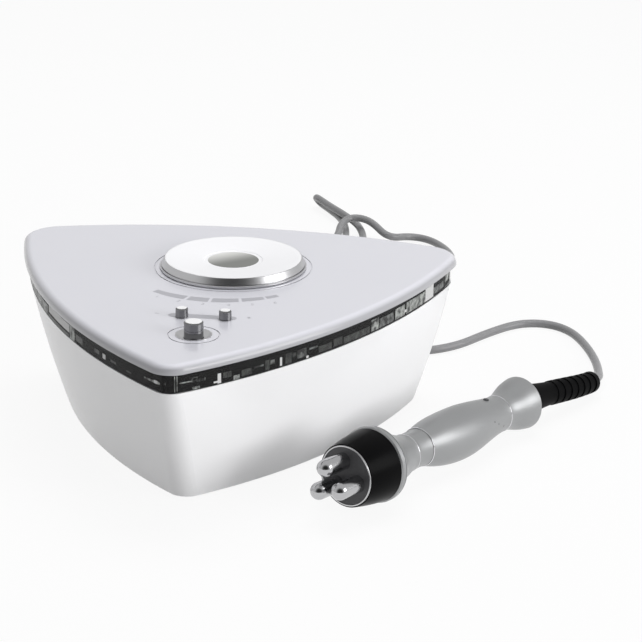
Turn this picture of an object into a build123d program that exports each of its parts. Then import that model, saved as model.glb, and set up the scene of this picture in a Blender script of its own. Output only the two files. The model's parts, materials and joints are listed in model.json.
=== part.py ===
from build123d import *
import os
from math import atan2, cos, degrees, hypot, radians, sin, tan

# Desk-top cavitation and radio frequency machine with a three-electrode handpiece on a lead.
# Millimetres. +Z is up, the nose of the housing points to -Y, and the machine stands on z = 0.
# The origin lies on the desk, on the housing's plane of symmetry, below the dial's row.

# Housing outline from above: three bowed sides between rounded corners
span = 280.0
depth = 239.0
rear_y = 64.5
side_bow = 24.7
rear_bow = 25.7
rear_corner_r = 23.4
nose_r = 13.6
# The foot of the housing is the same outline, drawn in towards a point behind it
foot_scale = 0.84
foot_centre_y = 97.0
foot_corner_r = 30.0

# Heights
foot_t = 1.5
housing_h = 77.1
band_h = 10.0
gasket_t = 1.8
plate_t = 5.3

# Walls and insets from the plate's outline
wall = 2.6
wall_swell = 1.2
band_inset = 3.0
band_t = 3.0
gasket_inset = 4.2
gasket_w = 3.0
ledge_w = 9.0
ledge_t = 4.0
frame_t = 3.0
strip_t = 0.8
led_gap = 0.2
led_count = 13
led_w = 3.4
led_h = 2.8
plate_edge_r = 4.6
base_gap = 0.3
base_t = 2.5

# Recessed connector panel in the rear wall
panel_w = 132.0
panel_h = 46.0
panel_z = 15.0
panel_y = 82.0
panel_flange_t = 2.2

# Controls on the plate
controls_x = 4.8
dial_y = 5.5
dial_r = 43.4
dial_top_r = 41.6
dial_foot_r = 44.2
dial_foot_h = 1.3
dial_h = 6.2
dial_gap = 0.6
dial_lip = 0.4
dial_slit = 0.6
dial_wall = 2.2
cap_t = 4.0
deck_t = 1.4
window_r = 15.4
window_lip_r = 17.8
window_sink = 2.0
window_lip = 0.3
shaft_r = 3.0
bushing_r = 4.5
shaft_clearance = 0.05
dial_groove_r = 47.5
groove_w = 0.8
groove_d = 0.5
mode_y = -89.6
mode_pitch = 25.0
mode_r = 3.6
mode_h = 5.4
start_y = -118.3
start_r = 5.5
start_h = 8.0
button_gap = 0.25
button_travel = 1.2
button_flange_w = 1.3
button_flange_t = 1.6
button_stop_gap = 0.15
stem_r = 1.65
dish_r = 10.4
dish_t = 3.2
dish_depth = 1.9
start_groove_r = 14.4

# Control board under the plate
board_t = 1.6
board_drop = 8.4
board_w = 40.0
board_front = 17.0
board_rear = 26.0
switch_w = 6.2
switch_h = 4.3
encoder_w = 16.0
encoder_h = 6.9
boss_r = 3.2
screw_r = 1.2

# Handpiece, lying on the desk: the middle of its face and the way its handle runs
face_at = (93.1, -133.2, 23.3)
handle_way = (0.5145, 0.8565, -0.0408)
face_r = 16.8
face_t = 3.0
trim_w = 0.8
cone_front_r = 18.2
cone_rear_r = 21.3
cone_len = 23.0
rim_r = 22.1
rim_len = 4.0
neck_r = 11.2
neck_at = 54.3
collar_dip = 0.4
collar_at = 67.3
swell_r = 15.9
waist_r = 11.3
tail_at = 146.0
tail_edge_at = 170.0
tail_r = 16.3
tail_cap_t = 2.6
tail_end_r = 14.6
handle_wall = 2.0
seam_w = 0.5
seam_d = 0.4
electrode_r = 5.0
electrode_out = 20.7
electrode_circle_r = 8.7
electrode_turn = -15.0
electrode_count = 3

# Shapes of the handle's pieces: shares of each piece's length, and of the step in its radius
flare_shape = ((0, 1), (0.11, 0.84), (0.26, 0.57), (0.48, 0.33), (0.73, 0.13), (1, 0))
collar_shape = ((0, 1), (0.2, 0.1), (0.5, 0), (0.8, 0.4), (1, 1.2))
grip_shape = (
    (0, 0), (0.06, 0.28), (0.16, 0.65), (0.29, 0.91), (0.42, 1),
    (0.54, 0.93), (0.67, 0.67), (0.8, 0.33), (0.92, 0.05), (1, 0),
)
tail_shape = ((0, 0), (0.17, 0.04), (0.42, 0.34), (0.67, 0.72), (0.92, 0.95), (1, 1))
# The handle's belly: how far its middle line hangs below the head's axis, and where along it
grip_bow = 2.3
bow_shape = ((0, 0), (0.15, 0.58), (0.26, 0.48), (0.5, 1), (0.78, 0.46), (1, 0))

# Lead and its strain relief
lead_d = 5.5
relief_end = (222.2, 77.2, 8.4)
relief_r = 9.2
relief_waist_r = 7.0
relief_waist_at = 0.45
relief_end_r = 6.3
relief_cuff = 6.0
rib_count = 6
rib_start = 0.4
rib_stop = 0.85
rib_t = 4.0
rib_rise = 0.6

# Rear connectors
socket_x = 48.0
socket_z = 38.0
socket_r = 8.0
socket_flange_r = 11.0
socket_depth = 18.0
plug_nut_r = 9.4
plug_nut_len = 15.0
plug_r = 7.6
plug_len = 20.0
boot_r = 5.6
boot_end_r = 3.7
boot_len = 21.8
inlet_x = -44.0
inlet_z = 38.0
inlet_w = 27.0
inlet_h = 19.6
inlet_depth = 20.0
inlet_wall = 1.8
inlet_flange = 3.5
inlet_recess = 15.0
pin_pitch = 14.0
earth_rise = 3.2
pin_w = 2.0
pin_h = 4.0
pin_len = 10.0
rocker_x = -12.0
rocker_z = 38.0
rocker_w = 10.4
rocker_half_h = 7.8
rocker_rise = 2.6
rocker_dip = 1.1
rocker_hub_r = 4.2
rocker_pin_r = 1.2
rocker_gap = 0.35
rocker_end_gap = 1.1
rocker_wall = 2.2
rocker_tilt = 9.0
switch_depth = 15.0

# Base fittings and power electronics
base_screw_r = 1.6
base_head_r = 3.2
base_boss_r = 4.6
base_boss_h = 20.0
pad_r = 9.0
standoff_r = 3.5
standoff_h = 6.0
power_w = 128.0
power_d = 78.0
power_y = 22.0
core_inset = 26.0
sink_inset = 24.0
sink_w = 30.0
sink_d = 56.0
sink_h = 24.0
sink_base_t = 4.0
fin_t = 1.6
fin_pitch = 4.6
fin_count = 7
slot_w = 3.0
slot_l = 22.0
slot_pitch = 7.0
slot_count = 8

# Heights that follow from the stack
rim_z = foot_t + housing_h
band_top = rim_z + band_h
plate_z = band_top + gasket_t
top_z = plate_z + plate_t
board_z = plate_z - board_drop
base_top = foot_t + base_t
power_z = base_top + standoff_h
lead_r = lead_d / 2
rim_end = cone_len + rim_len
tail_end = tail_edge_at + tail_cap_t

# The lead's route: from the strain relief round the housing's rear corner, out over the desk in
# a low arch, a loop and a folded end, and back up to the plug. z is the lead's centre.
lead_route = [
    relief_end,
    (227.2, 90.3, 6.4),
    (226.6, 106.7, 4.2),
    (224.4, 128.6, lead_r),
    (219.5, 150.1, lead_r),
    (212.4, 171.6, lead_r),
    (205.3, 185.9, lead_r),
    (194.7, 196.7, lead_r),
    (180.9, 199.8, lead_r),
    (166.3, 193.7, lead_r),
    (149.6, 172.9, lead_r),
    (130.0, 141.7, lead_r),
    (104.0, 127.0, lead_r),
    (76.0, 130.0, lead_r),
    (48.0, 139.0, lead_r),
    (23.0, 158.0, lead_r),
    (5.0, 190.0, lead_r),
    (-2.0, 230.0, lead_r),
    (1.0, 272.0, lead_r),
    (9.0, 308.0, lead_r),
    (18.0, 337.0, 3.8),
    (21.9, 361.1, 8.0),
    (21.7, 373.6, 11.8),
    (25.2, 385.9, 13.6),
    (34.0, 388.9, 14.2),
    (45.0, 383.0, 13.0),
    (59.9, 362.0, 7.2),
    (75.0, 382.9, 3.2),
    (91.4, 377.4, lead_r),
    (106.5, 353.0, lead_r),
    (112.5, 330.0, lead_r),
    (107.0, 306.0, lead_r),
    (91.0, 290.0, lead_r),
    (69.0, 286.0, lead_r),
    (50.0, 299.0, lead_r),
    (41.5, 323.0, lead_r),
    (41.0, 352.0, lead_r),
    (39.5, 378.0, lead_r),
    (32.0, 399.5, 5.6),
    (17.6, 414.4, 9.1),
    (5.2, 432.8, 9.0),
    (-10.3, 454.7, 10.6),
    (-5.9, 459.6, 2.9),
    (1.1, 448.8, lead_r),
    (17.0, 419.8, lead_r),
    (25.0, 388.0, lead_r),
    (28.0, 345.0, lead_r),
    (29.0, 300.0, lead_r),
    (36.0, 265.0, lead_r),
    (44.0, 240.0, 5.0),
    (48.0, 219.0, 13.0),
    (48.0, 199.0, 24.5),
    (48.0, 180.0, 33.5),
    (socket_x, 161.0, socket_z),
    (socket_x, panel_y + panel_flange_t + plug_nut_len + plug_len + boot_len, socket_z),
]

full = (span, depth, rear_y, side_bow, rear_bow, rear_corner_r, nose_r)
foot = (
    span * foot_scale,
    depth * foot_scale,
    foot_centre_y + (rear_y - foot_centre_y) * foot_scale,
    side_bow * foot_scale,
    rear_bow * foot_scale,
    foot_corner_r,
    nose_r * foot_scale,
)

nodes = {}


def unit(x, y):
    """The direction (x, y) at length one."""
    size = hypot(x, y)
    return x / size, y / size


def bowed_side(start, end, bow):
    """Centre and radius of the arc that stands bow proud of the chord, on its right."""
    chord = hypot(end[0] - start[0], end[1] - start[1])
    radius = (chord * chord / 4 + bow * bow) / (2 * bow)
    along = unit(end[0] - start[0], end[1] - start[1])
    inwards = radius - bow
    middle = ((start[0] + end[0]) / 2, (start[1] + end[1]) / 2)
    return (middle[0] - along[1] * inwards, middle[1] + along[0] * inwards), radius


def circles_meet(first, first_r, second, second_r, near):
    """The crossing of two circles that lies nearest to a point."""
    gap = hypot(second[0] - first[0], second[1] - first[1])
    ahead = (first_r ** 2 - second_r ** 2 + gap ** 2) / (2 * gap)
    aside = max(first_r ** 2 - ahead ** 2, 0.0) ** 0.5
    way = unit(second[0] - first[0], second[1] - first[1])
    foot_x = first[0] + ahead * way[0]
    foot_y = first[1] + ahead * way[1]
    found = [
        (foot_x - aside * way[1], foot_y + aside * way[0]),
        (foot_x + aside * way[1], foot_y - aside * way[0]),
    ]
    return min(found, key=lambda p: hypot(p[0] - near[0], p[1] - near[1]))


def arcs_of(shape):
    """An outline's sides and corners, each as (centre, radius), from the left rear corner on."""
    wide, long, rear, side, back, rear_r, tip_r = shape
    tips = [(-wide / 2, rear), (0.0, rear - long), (wide / 2, rear)]
    bows = [side, side, back]
    radii = [rear_r, tip_r, rear_r]
    sides = [bowed_side(tips[i], tips[(i + 1) % 3], bows[i]) for i in range(3)]
    corners = []
    for i in range(3):
        before, after = sides[i - 1], sides[i]
        centre = circles_meet(
            before[0], before[1] - radii[i], after[0], after[1] - radii[i], tips[i]
        )
        corners.append((centre, radii[i]))
    return sides, corners


def out_of(centre, way, distance):
    return centre[0] + way[0] * distance, centre[1] + way[1] * distance


def side_ways(shape, i):
    """The directions from side i's centre to where the side starts and ends."""
    sides, corners = arcs_of(shape)
    centre = sides[i][0]
    start, end = corners[i][0], corners[(i + 1) % 3][0]
    return (
        unit(start[0] - centre[0], start[1] - centre[1]),
        unit(end[0] - centre[0], end[1] - centre[1]),
    )


def outline(shape, z, inset=0.0):
    """The bowed outline as a flat face at height z, drawn in by inset."""
    sides, corners = arcs_of(shape)
    edges = []
    for i in range(3):
        corner, corner_r = corners[i]
        came = side_ways(shape, i - 1)[1]
        leaves, arrives = side_ways(shape, i)
        turn = unit(came[0] + leaves[0], came[1] + leaves[1])
        points = [
            out_of(corner, way, corner_r - inset) + (z,) for way in (came, turn, leaves)
        ]
        edges.append(Edge.make_three_point_arc(*points))
        centre, radius = sides[i]
        middle = unit(leaves[0] + arrives[0], leaves[1] + arrives[1])
        points = [
            out_of(centre, way, radius - inset) + (z,) for way in (leaves, middle, arrives)
        ]
        edges.append(Edge.make_three_point_arc(*points))
    return Face(Wire(edges))


def on_side(shape, i, share, inset):
    """A point at a share of the way along side i, and the outward angle there in degrees."""
    centre, radius = arcs_of(shape)[0][i]
    start, end = side_ways(shape, i)
    first = atan2(start[1], start[0])
    swing = (atan2(end[1], end[0]) - first) % radians(360)
    angle = first + swing * share
    x, y = out_of(centre, (cos(angle), sin(angle)), radius - inset)
    return x, y, degrees(angle)


def in_corner(shape, i, inset):
    """A point on corner i's bisector, inset from the outline, and its outward angle."""
    centre, radius = arcs_of(shape)[1][i]
    tips = [(-shape[0] / 2, shape[2]), (0.0, shape[2] - shape[1]), (shape[0] / 2, shape[2])]
    way = unit(tips[i][0] - centre[0], tips[i][1] - centre[1])
    x, y = out_of(centre, way, radius - inset)
    return x, y, degrees(atan2(way[1], way[0]))


def slab(shape, z, height, inset=0.0):
    return extrude(outline(shape, z, inset), height, dir=(0, 0, 1))


def ring(shape, z, height, inset, width):
    """A closed band of even width that follows the outline."""
    return slab(shape, z, height, inset) - slab(shape, z, height, inset + width)


def rod(x, y, z, radius, height):
    return Pos(x, y, z) * Cylinder(radius, height, align=(Align.CENTER, Align.CENTER, Align.MIN))


def block(x, y, z, width, length, height):
    low = (Align.CENTER, Align.CENTER, Align.MIN)
    return Pos(x, y, z) * Box(width, length, height, align=low)


def rear_block(x, z, width, height, y_from, y_to):
    """A block on the rear wall, centred on x and z, from one y to another."""
    middle = (y_from + y_to) / 2
    return Pos(x, middle, z) * Box(width, y_to - y_from, height)


def rear_rod(x, z, radius, y_from, length, end_radius=None):
    """A round bar, or a cone, that points out of the rear wall."""
    place = Plane(origin=(x, y_from, z), x_dir=(1, 0, 0), z_dir=(0, 1, 0))
    low = (Align.CENTER, Align.CENTER, Align.MIN)
    if end_radius is None:
        return place * Cylinder(radius, length, align=low)
    return place * Cone(radius, end_radius, length, align=low)


def turned(outline_points):
    """A solid of revolution about Z from a closed list of (radius, height) points."""
    face = make_face(Polyline(*[(r, 0, s) for r, s in outline_points], close=True))
    return revolve(face, Axis.Z)


def boss_places():
    """Where the base screws go: near the nose, near the rear corners and beside each side."""
    inset = wall + base_boss_r + 2.0
    return [
        in_corner(foot, 1, inset + 5.0),
        in_corner(foot, 0, inset + 3.0),
        in_corner(foot, 2, inset + 3.0),
        on_side(foot, 0, 0.52, inset),
        on_side(foot, 1, 0.48, inset),
    ]


def wall_section(z, inset=0.0):
    """The housing's outline at height z: it widens from the foot to the rim and swells between."""
    share = (z - foot_t) / housing_h
    shape = tuple(a + (b - a) * share for a, b in zip(foot, full))
    swell = wall_swell * 4 * share * (1 - share)
    return outline(shape, z, inset + band_inset * share - swell)


def housing():
    """Tapered lower shell with a ledge at the rim, base bosses and a recessed rear panel."""
    under_ledge = rim_z - ledge_t
    half_up = foot_t + housing_h / 2
    outer = loft([wall_section(z) for z in (foot_t, half_up, rim_z)])
    half_wall = loft([wall_section(z, wall / 2) for z in (foot_t, half_up, rim_z)])
    cavity = loft([wall_section(z, wall) for z in (foot_t, half_up, under_ledge)])
    thick = rear_block(
        0, panel_z + panel_h / 2, panel_w + 2 * wall, panel_h + 2 * wall, panel_y - wall, span
    )
    shell = outer - (cavity - thick)
    shell -= slab(full, under_ledge, ledge_t, band_inset + ledge_w)
    shell -= rear_block(0, panel_z + panel_h / 2, panel_w, panel_h, panel_y, span)
    for x, y, angle in boss_places():
        boss = rod(x, y, base_top, base_boss_r, base_boss_h)
        rib = Pos(x, y, base_top + base_boss_h / 2) * Rot(0, 0, angle)
        rib *= Pos(base_boss_r + 3.0, 0, 0) * Box(2 * base_boss_r + 4.0, 2.2, base_boss_h)
        shell += (boss + rib) & half_wall
        shell -= rod(x, y, base_top, base_screw_r, base_boss_h - 4.0)
    shell -= rear_rod(socket_x, socket_z, socket_r + 0.1, panel_y - wall, wall)
    for x, z, width, height in (
        (inlet_x, inlet_z, inlet_w + 0.2, inlet_h + 0.2),
        (rocker_x, rocker_z, switch_frame_w() + 0.2, switch_frame_h() + 0.2),
    ):
        shell -= rear_block(x, z, width, height, panel_y - wall, panel_y)
    middle = (rocker_x + socket_x) / 2
    for i in range(slot_count - 3):
        x = middle + (i - (slot_count - 4) / 2) * slot_pitch * 0.8
        shell -= rear_block(x, socket_z, slot_w * 0.8, slot_l, panel_y - wall, panel_y)
    return shell


def base_plate():
    """Bottom cover with vent slots, screw holes and a seat for each standoff."""
    plate = slab(foot, foot_t, base_t, wall + base_gap)
    for x, y, _ in boss_places():
        plate -= rod(x, y, foot_t, base_screw_r + 0.3, base_t)
        plate -= rod(x, y, foot_t, base_head_r + 0.3, base_t / 2)
    for row in (-1, 1):
        for i in range(slot_count):
            x = (i - (slot_count - 1) / 2) * slot_pitch
            y = power_y - 62.0 + row * (slot_l / 2 + 3.0)
            plate -= block(x, y, foot_t, slot_w, slot_l, base_t)
    return plate


def base_screws():
    """Five pan-head screws that hold the base plate to the bosses."""
    made = []
    for x, y, _ in boss_places():
        head = rod(x, y, foot_t + base_t / 2 - 1.2, base_head_r, 1.2)
        made.append(head + rod(x, y, foot_t + base_t / 2, base_screw_r, 14.0))
    return Compound(made)


def rubber_feet():
    made = []
    for i, inset in ((1, 26.0), (0, 22.0), (2, 22.0)):
        x, y, _ = in_corner(foot, i, inset)
        pad = rod(x, y, 0, pad_r, foot_t)
        made.append(pad)
    return Compound(made)


def light_band():
    """Smoked clear band with vertical seams where its two halves meet."""
    return ring(full, rim_z, band_h, band_inset, band_t)


def led_strip():
    """Flexible strip on the inner frame, with its lamps standing out towards the band."""
    inset = band_inset + ledge_w - frame_t - 1.0
    strip = ring(full, rim_z, band_h, inset - strip_t, strip_t)
    reach = inset - strip_t - (band_inset + band_t) - led_gap
    for side in (0, 1):
        for i in range(led_count):
            x, y, angle = on_side(full, side, (i + 0.5) / led_count, inset - strip_t)
            lamp = Pos(x, y, rim_z + band_h / 2) * Rot(0, 0, angle)
            strip += lamp * Pos(reach / 2 - 0.2, 0, 0) * Box(reach + 0.4, led_w, led_h)
    return strip


def inner_frame():
    """Upright frame that stands on the housing's ledge and carries the top plate."""
    inset = band_inset + ledge_w - frame_t - 1.0
    return ring(full, rim_z, plate_z - rim_z, inset, frame_t)


def board_boss_places():
    x = board_w / 2 - 5.0
    front = start_y - board_front + 5.0
    rear = dial_y + board_rear - 5.0
    return [(controls_x + sx * x, y) for sx in (-1, 1) for y in (front, rear)]


def mode_xs():
    return [controls_x - mode_pitch / 2, controls_x + mode_pitch / 2]


def top_plate():
    """Flat control plate with a rounded rim, holes for the controls and bosses below."""
    plate = slab(full, plate_z, plate_t)
    rim_edges = plate.edges().group_by(Axis.Z)[-1]
    plate = fillet(rim_edges, plate_edge_r)
    for x, y in board_boss_places():
        plate += rod(x, y, board_z, boss_r, plate_z - board_z)
        plate -= rod(x, y, board_z, screw_r, plate_z - board_z - 1.0)
    plate -= rod(controls_x, dial_y, plate_z, bushing_r + 0.1, plate_t)
    for x in mode_xs():
        plate -= rod(x, mode_y, plate_z, mode_r + button_gap, plate_t)
    plate -= rod(controls_x, start_y, plate_z, start_r + button_gap, plate_t)
    plate -= rod(controls_x, start_y, top_z - dish_t, dish_r, dish_t)
    for y, radius in ((dial_y, dial_groove_r), (start_y, start_groove_r)):
        outer = rod(controls_x, y, top_z - groove_d, radius + groove_w / 2, groove_d)
        plate -= outer - rod(controls_x, y, top_z - groove_d, radius - groove_w / 2, groove_d)
    return plate


def start_dish():
    """Polished concave bezel round the start button."""
    inner = start_r + button_gap
    steps = 6
    bowl = []
    for i in range(steps + 1):
        r = inner + (dish_r - 0.7 - inner) * i / steps
        rise = dish_depth * (i / steps) ** 2
        bowl.append((r, -dish_depth + rise + 0.35))
    profile = [(inner, -dish_t)] + bowl + [(dish_r, 0.35), (dish_r, -dish_t)]
    return Pos(controls_x, start_y, top_z) * turned(profile)


def dial_ring():
    """Chrome dial body: a flared skirt over a foot, a deck for the cap and a hub for the shaft."""
    low = dial_gap
    foot_top = low + dial_foot_h
    deck = dial_h - cap_t
    cap_r = dial_top_r - dial_lip
    hub_r = shaft_r + 3.0
    profile = [
        (dial_foot_r - dial_wall, low),
        (dial_foot_r, low),
        (dial_foot_r, foot_top - 0.3),
        (dial_foot_r - 0.3, foot_top),
        (dial_r - dial_slit, foot_top),
        (dial_r - dial_slit, foot_top + dial_slit),
        (dial_r, foot_top + dial_slit),
        (dial_top_r, dial_h - 0.2),
        (dial_top_r - 0.2, dial_h),
        (cap_r, dial_h),
        (cap_r, deck),
        (shaft_r, deck),
        (shaft_r, low),
        (hub_r, low),
        (hub_r, deck - deck_t),
        (dial_foot_r - dial_wall - 2.0, deck - deck_t),
    ]
    return Pos(controls_x, dial_y, top_z) * turned(profile)


def dial_cap():
    """White annular cap let into the dial's rim: it dishes towards the window."""
    deck = dial_h - cap_t
    cap_r = dial_top_r - dial_lip
    floor = dial_h - window_sink
    profile = [
        (window_r, deck),
        (cap_r, deck),
        (cap_r, dial_h),
        (cap_r - 1.0, dial_h),
        (window_lip_r, floor + window_lip),
        (window_lip_r - window_lip, floor),
        (window_r, floor),
    ]
    return Pos(controls_x, dial_y, top_z) * turned(profile)


def dial_window():
    """Tinted insert at the bottom of the cap's dish."""
    height = cap_t - window_sink
    return rod(controls_x, dial_y, top_z + dial_h - cap_t, window_r, height)


def dial_shaft():
    low = board_z + 2.0
    return rod(controls_x, dial_y, low, shaft_r, top_z + dial_h - cap_t - low)


def dial_encoder():
    """Turn sensor on the control board, with the bushing that guides the dial's shaft."""
    body = block(controls_x, dial_y, board_z, encoder_w, encoder_w, encoder_h)
    body += rod(controls_x, dial_y, board_z + encoder_h, bushing_r, top_z - board_z - encoder_h)
    bore = rod(controls_x, dial_y, board_z + 1.5, shaft_r + shaft_clearance, top_z - board_z)
    return body - bore


def button_cap(x, y, radius, height):
    """Chrome cap with a bevelled crown and a flange that stops it under the plate."""
    flange_top = plate_z - button_stop_gap
    flange_low = flange_top - button_flange_t
    crown = top_z + height
    profile = [
        (0, flange_low),
        (radius + button_flange_w, flange_low),
        (radius + button_flange_w, flange_top),
        (radius, flange_top),
        (radius, crown - 0.7),
        (radius - 0.7, crown),
        (0, crown),
    ]
    return Pos(x, y, 0) * turned(profile)


def button_stem(x, y):
    """The switch's own plunger, which the cap presses."""
    flange_low = plate_z - button_stop_gap - button_flange_t
    low = board_z + switch_h - 0.4
    return rod(x, y, low, stem_r, flange_low - low)


def key_switches():
    """Three push switches on the control board, each open for its plunger."""
    made = []
    for x, y in [(x, mode_y) for x in mode_xs()] + [(controls_x, start_y)]:
        body = block(x, y, board_z, switch_w, switch_w, switch_h)
        depth_in = button_travel + 0.4 + 0.4
        body -= rod(x, y, board_z + switch_h - depth_in, stem_r + 0.1, depth_in)
        made.append(body)
    return Compound(made)


def control_board():
    front = start_y - board_front
    rear = dial_y + board_rear
    board = block(controls_x, (front + rear) / 2, board_z - board_t, board_w, rear - front, board_t)
    for x, y in board_boss_places():
        board -= rod(x, y, board_z - board_t, screw_r + 0.2, board_t)
    return board


def board_screws():
    made = []
    for x, y in board_boss_places():
        head = rod(x, y, board_z - board_t - 1.2, 2 * screw_r, 1.2)
        made.append(head + rod(x, y, board_z - board_t, screw_r, board_t + 4.0))
    return Compound(made)


def power_places():
    x = power_w / 2 - 6.0
    y = power_d / 2 - 6.0
    return [(sx * x, power_y + sy * y) for sx in (-1, 1) for sy in (-1, 1)]


def standoffs():
    return Compound([rod(x, y, base_top, standoff_r, standoff_h) for x, y in power_places()])


def main_board():
    return block(0, power_y, power_z, power_w, power_d, board_t)


def rf_transformer():
    """Ferrite core with its winding, standing on the main board's left side."""
    x = core_inset - power_w / 2
    z = power_z + board_t
    core = block(x, power_y - 14.0, z, 34.0, 28.0, 27.0)
    core -= block(x, power_y - 14.0, z + 5.0, 20.0, 28.0, 17.0)
    return core


def rf_winding():
    x = core_inset - power_w / 2
    z = power_z + board_t + 5.0
    return block(x, power_y - 14.0, z, 20.0, 26.0, 17.0)


def heat_sink():
    """Finned aluminium sink for the output transistors."""
    x = power_w / 2 - sink_inset
    z = power_z + board_t
    fin_h = sink_h - sink_base_t
    sink = block(x, power_y, z, sink_w, sink_d, sink_base_t)
    for i in range(fin_count):
        offset = (i - (fin_count - 1) / 2) * fin_pitch
        sink += block(x + offset, power_y, z + sink_base_t, fin_t, sink_d, fin_h)
    return sink


def supply_can():
    """Closed switching supply module."""
    return block(-2.0, power_y + 18.0, power_z + board_t, 34.0, 36.0, 22.0)


def capacitors():
    z = power_z + board_t
    return Compound([rod(-3.0, power_y - 8.0 - 13.0 * i, z, 5.5, 21.0) for i in range(3)])


def handpiece_socket():
    """Round panel socket: a flange outside the panel and its body inside."""
    flange = rear_rod(socket_x, socket_z, socket_flange_r, panel_y, panel_flange_t)
    return flange + rear_rod(socket_x, socket_z, socket_r, panel_y - socket_depth, socket_depth)


def lead_plug():
    """Plug body with its knurled coupling nut."""
    start = panel_y + panel_flange_t
    nut = rear_rod(socket_x, socket_z, plug_nut_r, start, plug_nut_len)
    nut = chamfer(nut.edges().filter_by(GeomType.CIRCLE), 0.8)
    body = rear_rod(socket_x, socket_z, plug_r, start + plug_nut_len, plug_len)
    flutes = 18
    for i in range(flutes):
        angle = 360.0 * i / flutes
        x = socket_x + plug_nut_r * cos(radians(angle))
        z = socket_z + plug_nut_r * sin(radians(angle))
        nut -= rear_rod(x, z, 0.55, start + 2.0, plug_nut_len - 4.0)
    return nut + body


def plug_boot():
    start = panel_y + panel_flange_t + plug_nut_len + plug_len
    return rear_rod(socket_x, socket_z, boot_r, start, boot_len, boot_end_r)


def mains_inlet():
    """Three-pin mains inlet: flange, open recess and blades."""
    flange_y = panel_y + panel_flange_t
    body = rear_block(inlet_x, inlet_z, inlet_w, inlet_h, panel_y - inlet_depth, panel_y)
    body += rear_block(
        inlet_x, inlet_z, inlet_w + 2 * inlet_flange, inlet_h + 2 * inlet_flange, panel_y, flange_y
    )
    floor_y = flange_y - inlet_recess
    hollow_w = inlet_w - 2 * inlet_wall
    hollow_h = inlet_h - 2 * inlet_wall
    body -= rear_block(inlet_x, inlet_z, hollow_w, hollow_h, floor_y, flange_y)
    for dx, dz in ((-pin_pitch / 2, 0.0), (pin_pitch / 2, 0.0), (0.0, earth_rise)):
        body += rear_block(
            inlet_x + dx, inlet_z + dz, pin_w, pin_h, floor_y - 1.0, floor_y + pin_len
        )
    return body


def switch_frame_w():
    return rocker_w + 2 * rocker_gap + 2 * rocker_wall


def switch_frame_h():
    return 2 * (rocker_half_h + rocker_end_gap + rocker_wall)


def rocker_frame():
    """Body of the power switch, open in front for the rocker, with the rocker's pivots."""
    flange_y = panel_y + panel_flange_t
    wide, tall = switch_frame_w(), switch_frame_h()
    frame = rear_block(rocker_x, rocker_z, wide, tall, panel_y - switch_depth, panel_y)
    frame += rear_block(rocker_x, rocker_z, wide + 3.0, tall + 3.0, panel_y, flange_y)
    hollow_w = rocker_w + 2 * rocker_gap
    hollow_h = tall - 2 * rocker_wall
    floor_y = panel_y - switch_depth + rocker_wall
    frame -= rear_block(rocker_x, rocker_z, hollow_w, hollow_h, floor_y, flange_y)
    return frame - rocker_pivots(rocker_pin_r + 0.05, rocker_wall * 0.6)


def rocker_pivot_y():
    return panel_y - 2.0


def rocker_pivots(radius, reach):
    """The pivot pins, or the holes for them, along X."""
    length = rocker_w + 2 * rocker_gap + 2 * reach
    place = Plane(origin=(rocker_x, rocker_pivot_y(), rocker_z), z_dir=(1, 0, 0))
    return place * Cylinder(radius, length)


def rocker_key():
    """Rocker with two faces in a shallow V, resting tilted to one side."""
    front = panel_y + panel_flange_t - rocker_pivot_y() + rocker_rise
    half = rocker_half_h
    profile = [
        (-1.0, -half),
        (front, -half),
        (front - rocker_dip, 0.0),
        (front, half),
        (-1.0, half),
    ]
    face = make_face(Polyline(*[(0, y, z) for y, z in profile], close=True))
    key = Pos(-rocker_w / 2, 0, 0) * extrude(face, rocker_w, dir=(1, 0, 0))
    key += Rot(0, 90, 0) * Cylinder(rocker_hub_r, rocker_w)
    pins = Rot(0, 90, 0) * Cylinder(rocker_pin_r, rocker_w + 2 * rocker_gap + rocker_wall)
    key = Rot(-rocker_tilt, 0, 0) * (key + pins)
    return Pos(rocker_x, rocker_pivot_y(), rocker_z) * key


def handle_frame():
    """The handpiece's own frame: Z runs from its face along the handle, X points up."""
    along = Vector(*handle_way).normalized()
    up = Vector(0, 0, 1)
    x_dir = up - along * up.dot(along)
    return Plane(origin=face_at, x_dir=x_dir, z_dir=along)


def swept_profile(stations, inner):
    """A turned shell: a smooth curve through (distance, radius) outside, straight lines inside."""
    outside = Spline(*[(r, 0, s) for s, r in stations])
    corners = [(r, 0, s) for s, r in inner]
    first, last = outside @ 0, outside @ 1
    rest = Polyline(last, *corners, first)
    return revolve(make_face(Curve() + [outside, rest]), Axis.Z)


def electrode_places():
    step = 360.0 / electrode_count
    angles = [radians(electrode_turn + i * step) for i in range(electrode_count)]
    return [(electrode_circle_r * cos(a), electrode_circle_r * sin(a)) for a in angles]


def face_disc():
    """Insulating face that carries the electrodes."""
    disc = Cylinder(face_r, face_t, align=(Align.CENTER, Align.CENTER, Align.MIN))
    for x, y in electrode_places():
        disc -= rod(x, y, 0, electrode_r - 1.0, face_t)
    return disc


def face_trim():
    """Thin bright ring round the face."""
    return turned([
        (face_r, -0.3),
        (face_r + trim_w - 0.2, -0.3),
        (face_r + trim_w, 0.2),
        (face_r + trim_w, face_t),
        (face_r, face_t),
    ])


def electrodes():
    """Three domed metal rods that stand out of the face."""
    dome = electrode_r
    straight = electrode_out - dome
    made = []
    for x, y in electrode_places():
        bar = rod(0, 0, -straight, electrode_r, straight)
        bar += Pos(0, 0, -straight) * Sphere(dome)
        bar -= rod(0, 0, 0, electrode_r + 1.0, 2 * dome)
        bar += rod(0, 0, 0, electrode_r - 1.0, face_t + 6.0)
        made.append(Pos(x, y, 0) * bar)
    return Compound(made)


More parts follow.
